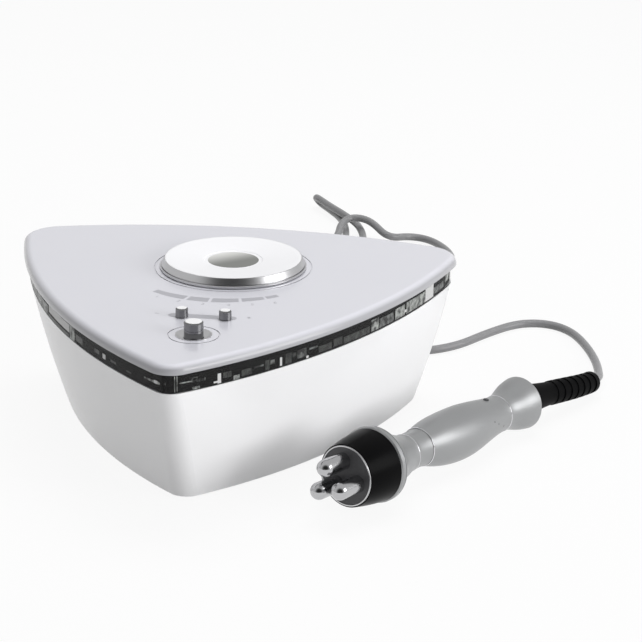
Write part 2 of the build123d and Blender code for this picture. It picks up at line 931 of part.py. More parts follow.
def head_cone():
    """Black cup of the head, from the face back to the silver rim."""
    front = face_r + trim_w
    return swept_profile(
        [(0.2, cone_front_r), (cone_len * 0.45, cone_rear_r - 1.3), (cone_len, cone_rear_r)],
        [
            (cone_len, front - handle_wall),
            (face_t, front - handle_wall),
            (face_t, front),
            (0.2, front),
        ],
    )


def head_core():
    """Insulator block behind the face that holds the electrode tails."""
    core = rod(0, 0, face_t, face_r - 2.2, 14.0)
    for x, y in electrode_places():
        core -= rod(x, y, face_t, electrode_r - 1.0, 6.0)
    return core


def between(table, share):
    """A smooth value between the table's rows of (share, value)."""
    for (low, first), (high, last) in zip(table, table[1:]):
        if share <= high:
            part = max(share - low, 0.0) / (high - low)
            return first + (last - first) * part * part * (3 - 2 * part)
    return table[-1][1]


def bow_at(s):
    """How far the handle's middle line hangs below the head's axis at a distance along it."""
    return grip_bow * between(bow_shape, (s - rim_end) / (tail_edge_at - rim_end))


def stations(table, start, end, low_r, high_r):
    """Distances and radii along a piece of the handle."""
    return [(start + a * (end - start), low_r + b * (high_r - low_r)) for a, b in table]


def bowed_shell(rows):
    """A tube of even wall, lofted through round sections that hang on the handle's bow."""
    outside = loft([Pos(-bow_at(s), 0, s) * Circle(r) for s, r in rows])
    inside = loft([Pos(-bow_at(s), 0, s) * Circle(r - handle_wall) for s, r in rows])
    return outside - inside


def seam(s, r):
    """Fine groove round the handle that marks the joint of two pieces."""
    cutter = Cylinder(r + 1.0, seam_w) - Cylinder(r - seam_d, seam_w)
    return Pos(-bow_at(s), 0, s) * cutter


def head_bell():
    """Silver flare from the head's rim down to the neck."""
    shell = bowed_shell(stations(flare_shape, rim_end, neck_at, neck_r, rim_r - 0.1))
    lip = turned([
        (cone_rear_r - 4.0, cone_len),
        (rim_r - 0.7, cone_len),
        (rim_r, cone_len + 0.8),
        (rim_r, rim_end - 0.5),
        (rim_r - 0.4, rim_end),
        (cone_rear_r - 4.0, rim_end),
    ])
    return shell + lip


def neck_collar():
    """Slightly waisted collar between the flare and the grip."""
    rows = stations(collar_shape, neck_at, collar_at, neck_r - collar_dip, neck_r)
    collar = bowed_shell(rows)
    collar -= seam(neck_at + seam_w / 2, neck_r)
    return collar - seam(collar_at - seam_w / 2, waist_r)


def handle_shell():
    """Swelling grip that is fuller on its lower side."""
    return bowed_shell(stations(grip_shape, collar_at, tail_at, waist_r, swell_r))


def tail_bell():
    """Flared silver end cap with a sharp rear edge, which the strain relief comes out of."""
    bell = bowed_shell(stations(tail_shape, tail_at, tail_edge_at, waist_r, tail_r))
    bell -= seam(tail_at + seam_w / 2, waist_r)
    hole = lead_r + 1.2
    cap = turned([
        (hole, tail_edge_at),
        (tail_r, tail_edge_at),
        (tail_end_r, tail_end),
        (hole, tail_end),
    ])
    return bell + cap


def handle_board():
    """Small matching board inside the grip, held at its front end."""
    low = collar_at + 0.5
    reach = waist_r - handle_wall - 0.1
    board = Box(1.6, 11.0, 46.0, align=(Align.CENTER, Align.CENTER, Align.MIN))
    keys = Box(1.6, 2 * reach, 4.0, align=(Align.CENTER, Align.CENTER, Align.MIN))
    return Pos(-bow_at(low), 0, low) * (board + keys)


def relief_path():
    """The strain relief's axis: it leaves the tail in line and droops to the desk."""
    frame = handle_frame()
    start = Vector(*face_at) + frame.z_dir * tail_end
    end = Vector(*relief_end)
    reach = (end - start).length / 3
    near = start + frame.z_dir * reach
    far = end - (Vector(*lead_route[1]) - end).normalized() * reach
    return Bezier(start, near, far, end)


def relief_radius(share):
    """The sleeve narrows quickly behind the tail, then slowly."""
    rows = ((0, relief_r), (relief_waist_at, relief_waist_r), (1, relief_end_r))
    return between(rows, share)


def strain_relief():
    """Tapered flexible sleeve with raised ribs."""
    path = relief_path()
    steps_count = 6
    faces = []
    for i in range(steps_count + 1):
        share = i / steps_count
        radius = relief_radius(share)
        faces.append(Plane(origin=path @ share, z_dir=path % share) * Circle(radius))
    sleeve = loft(faces)
    for i in range(rib_count):
        share = rib_start + (rib_stop - rib_start) * i / (rib_count - 1)
        radius = relief_radius(share) + rib_rise
        place = Plane(origin=path @ share, z_dir=path % share)
        sleeve += place * Cylinder(radius, rib_t)
    cuff = rod(0, 0, -relief_cuff, relief_end_r + rib_rise, relief_cuff)
    cuff = fillet(cuff.edges().group_by(Axis.Z)[-1], 1.4)
    return sleeve + Plane(origin=path @ 1, z_dir=path % 1) * cuff


def lead_path():
    """Straight runs joined by arcs as large as their runs allow."""
    points = [Vector(*p) for p in lead_route]
    radii = []
    for before, here, after in zip(points, points[1:], points[2:]):
        turn = radians((here - before).get_angle(after - here))
        shorter = min((here - before).length, (after - here).length)
        radii.append(0.45 * shorter / tan(turn / 2))
    print("lead radii", [round(r, 1) for r in radii])
    return FilletPolyline(*points, radius=radii)


def lead():
    path = lead_path()
    tube = sweep(Plane(origin=path @ 0, z_dir=path % 0) * Circle(lead_r), path=path)
    section = 3.14159265 * lead_r ** 2
    print("lead length", round(path.length, 1), "volume / section", round(tube.volume / section, 1))
    return tube


def build():
    nodes["body_shell"] = housing()
    nodes["base_plate"] = base_plate()
    nodes["base_screws"] = base_screws()
    nodes["rubber_feet"] = rubber_feet()
    nodes["light_band"] = light_band()
    nodes["led_strip"] = led_strip()
    nodes["inner_frame"] = inner_frame()
    nodes["trim_gasket"] = ring(full, band_top, gasket_t, gasket_inset, gasket_w)
    nodes["top_plate"] = top_plate()
    nodes["control_board"] = control_board()
    nodes["board_screws"] = board_screws()
    nodes["key_switches"] = key_switches()
    nodes["dial_encoder"] = dial_encoder()
    nodes["dial_shaft"] = dial_shaft()
    nodes["dial_ring"] = dial_ring()
    nodes["dial_cap"] = dial_cap()
    nodes["dial_window"] = dial_window()
    for name, x in zip(("left", "right"), mode_xs()):
        nodes[f"mode_button_{name}"] = button_cap(x, mode_y, mode_r, mode_h)
        nodes[f"mode_stem_{name}"] = button_stem(x, mode_y)
    nodes["start_button"] = button_cap(controls_x, start_y, start_r, start_h)
    nodes["start_stem"] = button_stem(controls_x, start_y)
    nodes["start_dish"] = start_dish()
    nodes["board_standoffs"] = standoffs()
    nodes["main_board"] = main_board()
    nodes["rf_transformer"] = rf_transformer()
    nodes["rf_winding"] = rf_winding()
    nodes["heat_sink"] = heat_sink()
    nodes["supply_module"] = supply_can()
    nodes["capacitors"] = capacitors()
    nodes["mains_inlet"] = mains_inlet()
    nodes["power_switch_frame"] = rocker_frame()
    nodes["power_rocker"] = rocker_key()
    nodes["handpiece_socket"] = handpiece_socket()
    nodes["lead_plug"] = lead_plug()
    nodes["plug_boot"] = plug_boot()
    grip = handle_frame().location
    for name, piece in (
        ("head_face", face_disc()),
        ("face_trim", face_trim()),
        ("electrodes", electrodes()),
        ("head_cone", head_cone()),
        ("head_core", head_core()),
        ("head_bell", head_bell()),
        ("neck_collar", neck_collar()),
        ("handle_shell", handle_shell()),
        ("handle_board", handle_board()),
        ("tail_bell", tail_bell()),
    ):
        nodes[name] = grip * piece
    nodes["strain_relief"] = strain_relief()
    nodes["handpiece_lead"] = lead()


build()
os.makedirs("parts", exist_ok=True)
for name, shape in nodes.items():
    export_step(shape, f"parts/{name}.step")
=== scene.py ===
# %% [markdown]
# # A cavitation and radio frequency machine
# A desk-top beauty machine: a white housing shaped like a rounded triangle, a silver-grey control
# plate with a turn dial and three chrome buttons, a dark lamp band between the two, and a
# handpiece with three electrodes on a grey lead. The solids come from the CAD model, in metres and
# in its own frame. This file adds the studio, the finishes and the fine pieces on top of them.

# %% Load the model
import json
from math import cos, pi, radians, sin

import bpy
import numpy as np
from mathutils import Matrix, Vector


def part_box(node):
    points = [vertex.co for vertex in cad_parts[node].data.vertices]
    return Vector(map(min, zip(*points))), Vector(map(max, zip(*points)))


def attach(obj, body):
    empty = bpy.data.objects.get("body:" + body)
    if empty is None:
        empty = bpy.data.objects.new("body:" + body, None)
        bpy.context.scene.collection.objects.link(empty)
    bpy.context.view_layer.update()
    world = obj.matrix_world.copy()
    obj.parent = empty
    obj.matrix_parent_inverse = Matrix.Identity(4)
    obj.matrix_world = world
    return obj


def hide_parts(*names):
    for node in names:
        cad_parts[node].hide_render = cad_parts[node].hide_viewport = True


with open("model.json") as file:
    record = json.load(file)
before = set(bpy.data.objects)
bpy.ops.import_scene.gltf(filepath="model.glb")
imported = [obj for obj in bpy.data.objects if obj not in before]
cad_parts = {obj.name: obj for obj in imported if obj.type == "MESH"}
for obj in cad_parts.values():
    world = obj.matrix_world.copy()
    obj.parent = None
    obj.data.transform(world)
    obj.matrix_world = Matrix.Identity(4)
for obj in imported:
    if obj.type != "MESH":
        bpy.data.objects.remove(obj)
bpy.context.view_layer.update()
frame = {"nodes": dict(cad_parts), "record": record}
nodes = frame["nodes"]
mm = 0.001

# %% [markdown]
# ## The camera
# The picture was taken from the machine's front right, a little above it, with a long lens: the
# three outlines of the plate, the housing's foot and the handpiece fix the place and the lens. A
# camera could also be aimed with a constraint, but three plain angles are easier to read and to
# change. The camera looks along its own -Z, so it is first tipped up by 90 degrees.

# %% Place the camera
camera_place = (0.2388, -1.2906, 0.5253)
camera_yaw, camera_pitch, camera_roll = -7.907, -19.416, 0.722
camera_data = bpy.data.cameras.new("picture_camera")
camera_data.sensor_width = 36.0
camera_data.lens = 128.23
camera = bpy.data.objects.new("picture_camera", camera_data)
bpy.context.scene.collection.objects.link(camera)
bpy.context.scene.camera = camera
camera.matrix_world = (
    Matrix.Translation(camera_place)
    @ Matrix.Rotation(radians(-camera_yaw), 4, "Z")
    @ Matrix.Rotation(radians(90 + camera_pitch), 4, "X")
    @ Matrix.Rotation(radians(camera_roll), 4, "Z")
)
print("camera at", camera_place, "lens", camera_data.lens)

# %% [markdown]
# ## The lead
# The lead is a limp grey cable, 5.5 mm thick and 1.3 m long. It leaves the strain relief beside
# the housing's rear corner, bends round behind the machine, crosses itself in low humps, folds
# back at its far end and climbs to the plug in the rear panel. A mesh tube would need its own
# frames along the path. A NURBS curve with a round bevel gives the same tube from a few points,
# and its curvature changes smoothly, as a real cable's does. The tube's radius is given at the
# points, with a bevel depth of one, because Blender adds the points' radius to a curve's box.

# %% Draw the lead
lead_diameter = 5.5 * mm
low = 2.75  # half the diameter: the height of the lead's middle where it lies on the desk
lead_points = [
    (222.2, 77.2, 8.4), (227.2, 90.3, 6.4), (226.6, 106.7, 4.2), (224.4, 128.6, low),
    (219.5, 150.1, low), (212.4, 171.6, low), (205.3, 185.9, low), (194.7, 196.7, low),
    (180.9, 199.8, low), (166.3, 193.7, low), (149.6, 172.9, low), (130, 141.7, low),
    (104, 127, low), (76, 130, low), (48, 139, low), (23, 158, low), (5, 190, low),
    (-2, 230, low), (1, 272, low),
    (9, 308, low), (18, 337, 3.8), (21.9, 361.1, 8), (21.7, 373.6, 11.8), (25.2, 385.9, 13.6),
    (34, 388.9, 14.2), (45, 383, 13), (59.9, 362, 7.2), (75, 382.9, 3.2), (91.4, 377.4, low),
    (106.5, 353, low), (112.5, 330, low), (107, 306, low), (91, 290, low), (69, 286, low),
    (50, 299, low), (41.5, 323, low), (41, 352, low), (39.5, 378, low), (32, 399.5, 5.6),
    (17.6, 414.4, 9.1), (5.2, 432.8, 9), (-10.3, 454.7, 10.6), (-5.9, 459.6, 2.9),
    (1.1, 448.8, low), (17, 419.8, low), (25, 388, low), (28, 345, low), (29, 300, low),
    (36, 265, low), (44, 240, 5),
    (48, 219, 13), (48, 199, 24.5), (48, 180, 33.5), (48, 161, 38), (48, 141, 38),
]

# %% Make the lead a tube
lead_curve = bpy.data.curves.new("handpiece_cable", "CURVE")
lead_curve.dimensions = "3D"
lead_curve.bevel_depth = 1.0
lead_curve.bevel_resolution = 6
lead_curve.use_fill_caps = True
lead_line = lead_curve.splines.new("NURBS")
lead_line.points.add(len(lead_points) - 1)
for point, (x, y, z) in zip(lead_line.points, lead_points):
    point.co = (x * mm, y * mm, z * mm, 1)
    point.radius = lead_diameter / 2
lead_line.order_u = 3
lead_line.use_endpoint_u = True
lead = bpy.data.objects.new("handpiece_cable", lead_curve)
bpy.context.scene.collection.objects.link(lead)
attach(lead, "machine")
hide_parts("handpiece_lead")
print("lead drawn through", len(lead_points), "points")

# %% [markdown]
# ## The studio
# The machine stands on a white floor that fades into a pale background. Brightening these with
# lamps would bleach the machine too. So the floor and the world are bright only for rays that
# come from the camera, from a polished piece or through glass. Above the floor, polished pieces
# mirror a room of their own: a white room with one dark gap in its front wall, which gives chrome
# its contrast.

# %% Tell the kinds of rays apart
def ray_share(tree, names):
    """One where a ray is of one of the named kinds, and zero for all other rays."""
    path = tree.nodes.new("ShaderNodeLightPath")
    total = path.outputs[names[0]]
    for name in names[1:]:
        add = tree.nodes.new("ShaderNodeMath")
        add.operation = "MAXIMUM"
        tree.links.new(total, add.inputs[0])
        tree.links.new(path.outputs[name], add.inputs[1])
        total = add.outputs[0]
    return total


# %% A floor that stays white and keeps its shadow
floor_half = 6.0
floor_drop = 0.0002  # just below the machine's feet, so that the two faces don't coincide
floor_shade, floor_glow, glow_share = 0.42, 1.06, 0.86
floor_mesh = bpy.data.meshes.new("floor")
floor_mesh.from_pydata(
    [
        (x * floor_half, y * floor_half, -floor_drop)
        for x, y in ((-1, -1), (1, -1), (1, 1), (-1, 1))
    ],
    [],
    [(0, 1, 2, 3)],
)
floor = bpy.data.objects.new("floor", floor_mesh)
bpy.context.scene.collection.objects.link(floor)
print("floor", 2 * floor_half, "m wide")

# %% The floor's finish: part paper, part glow
floor_finish = bpy.data.materials.new("floor_white")
floor_finish.use_nodes = True
tree = floor_finish.node_tree
tree.nodes.clear()
paper = tree.nodes.new("ShaderNodeBsdfDiffuse")
paper.inputs["Color"].default_value = (floor_shade, floor_shade, floor_shade, 1)
glow = tree.nodes.new("ShaderNodeEmission")
glow.inputs["Strength"].default_value = floor_glow
share = tree.nodes.new("ShaderNodeMath")
share.operation = "MULTIPLY"
share.inputs[1].default_value = glow_share
mix = tree.nodes.new("ShaderNodeMixShader")
out = tree.nodes.new("ShaderNodeOutputMaterial")
white_to = ["Is Camera Ray", "Is Transmission Ray", "Is Glossy Ray"]
tree.links.new(ray_share(tree, white_to), share.inputs[0])
tree.links.new(share.outputs[0], mix.inputs[0])
tree.links.new(paper.outputs[0], mix.inputs[1])
tree.links.new(glow.outputs[0], mix.inputs[2])
tree.links.new(mix.outputs[0], out.inputs["Surface"])
floor_mesh.materials.append(floor_finish)
print("floor's finish", floor_finish.name)

# %% Background shaders for the world
room_light = 0.38
mirror_white, mirror_dark = 0.88, 0.04
world = bpy.data.worlds.new("studio")
bpy.context.scene.world = world
world.use_nodes = True
world_tree = world.node_tree
world_tree.nodes.clear()


def background(strength):
    """The output of a background shader with a fixed strength."""
    node = world_tree.nodes.new("ShaderNodeBackground")
    node.inputs["Strength"].default_value = strength
    return node.outputs[0]


def mixed(factor, first, second):
    """Two shaders mixed by a socket."""
    node = world_tree.nodes.new("ShaderNodeMixShader")
    world_tree.links.new(factor, node.inputs[0])
    world_tree.links.new(first, node.inputs[1])
    world_tree.links.new(second, node.inputs[2])
    return node.outputs[0]


# %% A white room with one dark gap
toward_gap = (0.14, -0.94, 0.31)
gap_edge, gap_core = 0.55, 0.93  # how nearly a ray must point at the gap to meet its edge or core
ray = world_tree.nodes.new("ShaderNodeTexCoord")  # in a world, Generated is a ray's direction
turn = world_tree.nodes.new("ShaderNodeVectorMath")
turn.operation = "DOT_PRODUCT"
turn.inputs[1].default_value = toward_gap
world_tree.links.new(ray.outputs["Generated"], turn.inputs[0])
gap = world_tree.nodes.new("ShaderNodeMapRange")
gap.interpolation_type = "SMOOTHSTEP"
gap.inputs["From Min"].default_value = gap_edge
gap.inputs["From Max"].default_value = gap_core
world_tree.links.new(turn.outputs["Value"], gap.inputs["Value"])
white_wall, dark_gap = background(mirror_white), background(mirror_dark)
mirrored = mixed(gap.outputs["Result"], white_wall, dark_gap)
room = mixed(ray_share(world_tree, ["Is Glossy Ray"]), background(room_light), mirrored)
seen = ray_share(world_tree, ["Is Camera Ray", "Is Transmission Ray"])
out = world_tree.nodes.new("ShaderNodeOutputWorld")
world_tree.links.new(mixed(seen, room, background(1.0)), out.inputs["Surface"])
print("world", world.name, "with its gap toward", toward_gap)


# %% Lamps
def softbox(name, place, target, width, height, watts, mirrored=True):
    """A rectangular lamp at place, turned to face target. Polished pieces may mirror it or not."""
    lamp = bpy.data.lights.new(name, "AREA")
    lamp.shape = "RECTANGLE"
    lamp.size, lamp.size_y = width, height
    lamp.energy = watts
    holder = bpy.data.objects.new(name, lamp)
    bpy.context.scene.collection.objects.link(holder)
    holder.visible_glossy = mirrored
    way = Vector(target) - Vector(place)
    turned = way.to_track_quat("-Z", "Y").to_matrix().to_4x4()
    holder.matrix_world = Matrix.Translation(place) @ turned


softbox("key_right", (1.75, -0.85, 0.5), (0.05, 0, 0.05), 0.9, 0.6, 17, mirrored=False)
softbox("key_sheen", (1.9, -0.25, 0.73), (0.14, -0.08, 0.03), 1.3, 1.0, 13)
softbox("top_soft", (0.1, 0.55, 1.8), (0, 0, 0.1), 1.5, 1.1, 27, mirrored=False)
softbox("front_fill", (0.3, -2.2, 0.6), (0, 0, 0.04), 1.4, 0.9, 12, mirrored=False)
softbox("left_fill", (-1.7, 0.1, 0.7), (0, 0, 0.04), 1.2, 1.0, 0.2, mirrored=False)

# %% [markdown]
# ## Finishes that several pieces share
# Real plastic and metal are never perfectly even: hands leave a faint sheen, moulds leave a skin,
# and turning or brushing leaves fine lines. Each of these effects is one node group with named
# inputs, so that every finish can use it at its own scale and strength.

# %% Helpers for node groups
def new_group(name, inputs, outputs):
    """An empty shader group with float or colour sockets, and its two end nodes."""
    group = bpy.data.node_groups.new(name, "ShaderNodeTree")
    for label, kind, value in inputs:
        socket = group.interface.new_socket(label, in_out="INPUT", socket_type=kind)
        socket.default_value = value
    for label, kind in outputs:
        group.interface.new_socket(label, in_out="OUTPUT", socket_type=kind)
    return group, group.nodes.new("NodeGroupInput"), group.nodes.new("NodeGroupOutput")


def math_node(group, operation, first, second):
    """A maths node whose inputs are sockets or plain numbers. Its result socket is returned."""
    node = group.nodes.new("ShaderNodeMath")
    node.operation = operation
    for slot, value in zip(node.inputs, (first, second)):
        if isinstance(value, (int, float)):
            slot.default_value = value
        else:
            group.links.new(value, slot)
    return node.outputs[0]


def noise_at(group, scale_socket, detail):
    """Noise on the object's own coordinates."""
    place = group.nodes.new("ShaderNodeTexCoord")
    noise = group.nodes.new("ShaderNodeTexNoise")
    noise.inputs["Detail"].default_value = detail
    group.links.new(place.outputs["Object"], noise.inputs["Vector"])
    group.links.new(scale_socket, noise.inputs["Scale"])
    return noise.outputs["Fac"]


# %% The handling group: a base roughness that drifts a little from place to place
handling, ends, result = new_group(
    "handling_sheen",
    [
        ("Roughness", "NodeSocketFloat", 0.3),
        ("Drift", "NodeSocketFloat", 0.05),
        ("Scale", "NodeSocketFloat", 40.0),
    ],
    [("Roughness", "NodeSocketFloat")],
)
cloud = noise_at(handling, ends.outputs["Scale"], 4.0)
centred = math_node(handling, "SUBTRACT", cloud, 0.5)
drift = math_node(handling, "MULTIPLY", centred, ends.outputs["Drift"])
drifting = math_node(handling, "ADD", drift, ends.outputs["Roughness"])
handling.links.new(drifting, result.inputs["Roughness"])
print("group", handling.name)

# %% The skin group: a fine height pattern, as a mould or a brush leaves it
skin, ends, result = new_group(
    "fine_skin",
    [("Scale", "NodeSocketFloat", 1500.0), ("Depth", "NodeSocketFloat", 1.0)],
    [("Height", "NodeSocketFloat")],
)
grain = noise_at(skin, ends.outputs["Scale"], 2.0)
skin.links.new(math_node(skin, "MULTIPLY", grain, ends.outputs["Depth"]), result.inputs["Height"])
print("group", skin.name)

# %% The tone group: a colour that shifts between two shades in soft clouds
tone, ends, result = new_group(
    "soft_tone",
    [
        ("Shade", "NodeSocketColor", (0.8, 0.8, 0.8, 1)),
        ("Other Shade", "NodeSocketColor", (0.7, 0.7, 0.7, 1)),
        ("Scale", "NodeSocketFloat", 25.0),
        ("Contrast", "NodeSocketFloat", 1.0),
    ],
    [("Color", "NodeSocketColor")],
)
cloud = noise_at(tone, ends.outputs["Scale"], 3.0)
centred = math_node(tone, "SUBTRACT", cloud, 0.5)
stretched = math_node(tone, "MULTIPLY", centred, ends.outputs["Contrast"])
factor = math_node(tone, "ADD", stretched, 0.5)
blend = tone.nodes.new("ShaderNodeMix")
blend.data_type = "RGBA"
tone.links.new(factor, blend.inputs["Factor"])
tone.links.new(ends.outputs["Shade"], blend.inputs["A"])
tone.links.new(ends.outputs["Other Shade"], blend.inputs["B"])
tone.links.new(blend.outputs["Result"], result.inputs["Color"])
print("group", tone.name)

# %% [markdown]
# ## The finishes
# One function makes every finish from the same three groups: what differs is the colour, how
# polished it is, and how coarse its skin is. Gloss comes from the shader's own coat. Painted light
# is added in a few places: a painted shade on the plate's rim, a painted reflection in the dial's
# window, and painted highlights and dark reflections on the buttons.

# %% Small steps of a finish
def placed(tree, group):
    """A node in a material's tree that stands for a shared group."""
    node = tree.nodes.new("ShaderNodeGroup")
    node.node_tree = group
    return node


def shade_by_rise(tree, colour, rim_painted_shade):
    """A painted shade on a rim where a face turns away from upright, and the colour where it lies
    flat.
    """
    normal = tree.nodes.new("ShaderNodeNewGeometry").outputs["Normal"]
    parts = tree.nodes.new("ShaderNodeSeparateXYZ")
    upright = tree.nodes.new("ShaderNodeMapRange")
    upright.inputs["From Min"].default_value = rim_ends_at
    upright.inputs["From Max"].default_value = flat_starts_at
    edge = tree.nodes.new("ShaderNodeMix")
    edge.data_type = "RGBA"
    edge.inputs["A"].default_value = (*rim_painted_shade, 1)
    tree.links.new(normal, parts.inputs[0])
    tree.links.new(parts.outputs["Z"], upright.inputs["Value"])
    tree.links.new(upright.outputs["Result"], edge.inputs["Factor"])
    tree.links.new(colour, edge.inputs["B"])
    return edge.outputs["Result"]


rim_ends_at, flat_starts_at = 0.5, 0.97
skin_height = 0.05 * mm

# %% One maker for all finishes
def finish_of(
    name, shade, other=None, rough=0.3, drift=0.05, skin_depth=0.2,
    tone_scale=25.0, tone_contrast=1.0, rim_painted_shade=None, **sockets,
):
    """A Principled material: clouded colour, drifting roughness and a fine bumped skin.

    The colour lies between shade and other, and the roughness drifts about rough. Where a painted
    rim shade is given, it darkens what turns away from upright. Other names are the shader's own
    sockets, with an underscore for each space.
    """
    material = bpy.data.materials.new(name)
    material.use_nodes = True
    tree = material.node_tree
    shader = tree.nodes["Principled BSDF"]
    clouded = placed(tree, tone)
    clouded.inputs["Shade"].default_value = (*shade, 1)
    clouded.inputs["Other Shade"].default_value = (*(other or [c * 0.985 for c in shade]), 1)
    clouded.inputs["Scale"].default_value = tone_scale
    clouded.inputs["Contrast"].default_value = tone_contrast
    colour = clouded.outputs["Color"]
    if rim_painted_shade:
        colour = shade_by_rise(tree, colour, rim_painted_shade)
    tree.links.new(colour, shader.inputs["Base Color"])
    sheen = placed(tree, handling)
    sheen.inputs["Roughness"].default_value = rough
    sheen.inputs["Drift"].default_value = drift
    tree.links.new(sheen.outputs["Roughness"], shader.inputs["Roughness"])
    if skin_depth:
        bump = tree.nodes.new("ShaderNodeBump")
        bump.inputs["Strength"].default_value = skin_depth
        bump.inputs["Distance"].default_value = skin_height
        tree.links.new(placed(tree, skin).outputs["Height"], bump.inputs["Height"])
        tree.links.new(bump.outputs["Normal"], shader.inputs["Normal"])
    for socket, value in sockets.items():
        shader.inputs[socket.replace("_", " ")].default_value = value
    return material


# %% Housing, plate and dial
finishes = {
    "housing_white": finish_of(
        "housing_gloss", (0.84, 0.84, 0.85), (0.836, 0.836, 0.846),
        rough=0.32, drift=0.03, skin_depth=0.0, Coat_Weight=0.35, Coat_Roughness=0.08,
    ),
    # The plate's rounded rim gets a painted shade, darker where it turns away from upright.
    "plate_silver": finish_of(
        "plate_lacquer", (0.60, 0.60, 0.645), (0.585, 0.585, 0.635), rim_painted_shade=(0.33, 0.33, 0.35),
        rough=0.32, skin_depth=0.0, Coat_Weight=0.8, Coat_Roughness=0.14,
    ),
    "dial_white": finish_of(
        "dial_white", (0.82, 0.82, 0.84), rough=0.25, skin_depth=0.0, Coat_Weight=0.5
    ),
    "tinted_insert": finish_of(
        "insert_grey", (0.12, 0.125, 0.113), (0.125, 0.13, 0.118),
        rough=0.25, drift=0.02, skin_depth=0.0,
    ),
    "chrome": finish_of(
        "chrome", (0.75, 0.75, 0.77), rough=0.07, drift=0.03, skin_depth=0.02, Metallic=1.0
    ),
}
print("finishes of the top", list(finishes))

# %% Lamp band and rear panel
finishes |= {
    "smoked_clear": finish_of(
        "smoked_band", (0.02, 0.02, 0.022), rough=0.08, skin_depth=0.0, Alpha=0.12
    ),
    "strip_white": finish_of("strip_board", (0.02, 0.02, 0.02), rough=0.5, skin_depth=0.0),
    "inner_black": finish_of(
        "inner_black", (0.008, 0.008, 0.008), rough=0.6, skin_depth=0.0, Specular_IOR_Level=0.15
    ),
    "inlet_black": finish_of("inlet_black", (0.018, 0.018, 0.02), rough=0.45, skin_depth=0.4),
    "rocker_black": finish_of("rocker_black", (0.015, 0.015, 0.016), rough=0.2, Coat_Weight=0.4),
}
print("finishes so far", len(finishes))

# %% Handpiece and lead
finishes |= {
    "face_grey": finish_of("face_grey", (0.05, 0.05, 0.053), rough=0.45),
    "head_black": finish_of(
        "head_black", (0.002, 0.002, 0.0022), rough=0.3, skin_depth=0.1, Specular_IOR_Level=0.04
    ),
    "handle_silver": finish_of(
        "handle_silver", (0.35, 0.355, 0.36), (0.32, 0.325, 0.33),
        rough=0.4, Metallic=0.8, Coat_Weight=0.2, Coat_Roughness=0.16,
    ),
    "black_rubber": finish_of(
        "relief_rubber", (0.002, 0.002, 0.0022), rough=0.5, skin_depth=0.3, Specular_IOR_Level=0.04
    ),
    "lead_grey": finish_of("lead_grey", (0.2, 0.2, 0.205), rough=0.4, Coat_Weight=0.2),
}
lead_curve.materials.append(finishes["lead_grey"])
print("finishes so far", len(finishes))

# %% Parts inside
finishes |= {
    "circuit_green": finish_of("circuit_green", (0.02, 0.12, 0.05), rough=0.4),
    "ferrite": finish_of("ferrite", (0.05, 0.05, 0.05), rough=0.6),
    "winding": finish_of("winding_copper", (0.5, 0.22, 0.08), rough=0.4, Metallic=0.8),
    "steel": finish_of("steel", (0.55, 0.55, 0.57), rough=0.31, Metallic=1.0),
    "aluminium": finish_of("aluminium", (0.6, 0.6, 0.62), rough=0.35, Metallic=1.0),
    "brass": finish_of("brass", (0.6, 0.45, 0.18), rough=0.3, Metallic=1.0),
}
print("finishes", len(finishes))

# %% [markdown]
# ## The window in the dial
# The tinted insert is dark at its front right and light at its back left: a painted reflection of
# the bright room and the dark gap. Such a fade could be a second material, but then an edge would
# show. A dot product with the object's own coordinates gives the distance along one direction, and
# a smooth range over that distance mixes the two shades without an edge.

# %% Fade the insert
# The insert's colour turns light grey towards its back left: a painted reflection.
toward_painted_light = (-0.62, 0.78, 0)
fade_start, fade_end = -4 * mm, 19 * mm
tree = finishes["tinted_insert"].node_tree
place = tree.nodes.new("ShaderNodeTexCoord")
toward = tree.nodes.new("ShaderNodeVectorMath")
toward.operation = "DOT_PRODUCT"
toward.inputs[1].default_value = toward_painted_light
fade = tree.nodes.new("ShaderNodeMapRange")
fade.interpolation_type = "SMOOTHSTEP"
fade.inputs["From Min"].default_value = fade_start
fade.inputs["From Max"].default_value = fade_end
painted_reflection = tree.nodes.new("ShaderNodeMix")
painted_reflection.data_type = "RGBA"
painted_reflection.inputs["B"].default_value = (0.62, 0.62, 0.6, 1)
shader = tree.nodes["Principled BSDF"]
dark = shader.inputs["Base Color"].links[0].from_socket
tree.links.new(place.outputs["Object"], toward.inputs[0])
tree.links.new(toward.outputs["Value"], fade.inputs["Value"])
tree.links.new(fade.outputs["Result"], painted_reflection.inputs["Factor"])
tree.links.new(dark, painted_reflection.inputs["A"])
tree.links.new(painted_reflection.outputs["Result"], shader.inputs["Base Color"])
print("the insert fades over", round((fade_end - fade_start) / mm), "mm")

# %% [markdown]
# ## Chrome that isn't all alike
# The record gives one chrome to all polished pieces. Here the dial's skirt is brushed and the
# electrodes are softly polished, while the buttons' sides get a darkened chrome, a painted dark
# reflection that goes with the painted highlights on their crowns. So these nodes take a finish of
# their own and all others the one that their material slot names.

# %% Give every CAD node its finish
metal = {"skin_depth": 0.0, "Metallic": 1.0}
brushed = finish_of("brushed_chrome", (0.6, 0.6, 0.61), rough=0.3, drift=0.03, **metal)
# The buttons' sides: chrome darkened as a painted dark reflection.
painted_dark_chrome = finish_of("button_chrome", (0.22, 0.22, 0.225), rough=0.1, drift=0.02, **metal)
satin = finish_of("electrode_steel", (0.5, 0.5, 0.51), rough=0.15, drift=0.02, **metal)
own_finish = {
    "dial_ring": brushed,
    "mode_button_left": painted_dark_chrome,
    "mode_button_right": painted_dark_chrome,
    "start_button": painted_dark_chrome,
    "electrodes": satin,
    "face_trim": brushed,
    "start_dish": brushed,
}
for entry in frame["record"]["subparts"]:
    mesh = nodes[entry["node"]].data
    mesh.materials.clear()
    mesh.materials.append(own_finish.get(entry["node"], finishes[entry["material_slot"]]))
print("nodes with a finish of their own", len(own_finish))

# %% [markdown]
# ## Making pieces from numbers
# A fine piece is a surface over a grid of two parameters: numpy works out every point at once, and
# the quads between neighbours on the grid are the faces. A bar that follows a line is such a grid
# too, with the corners of its section as one parameter and the way along it as the other.

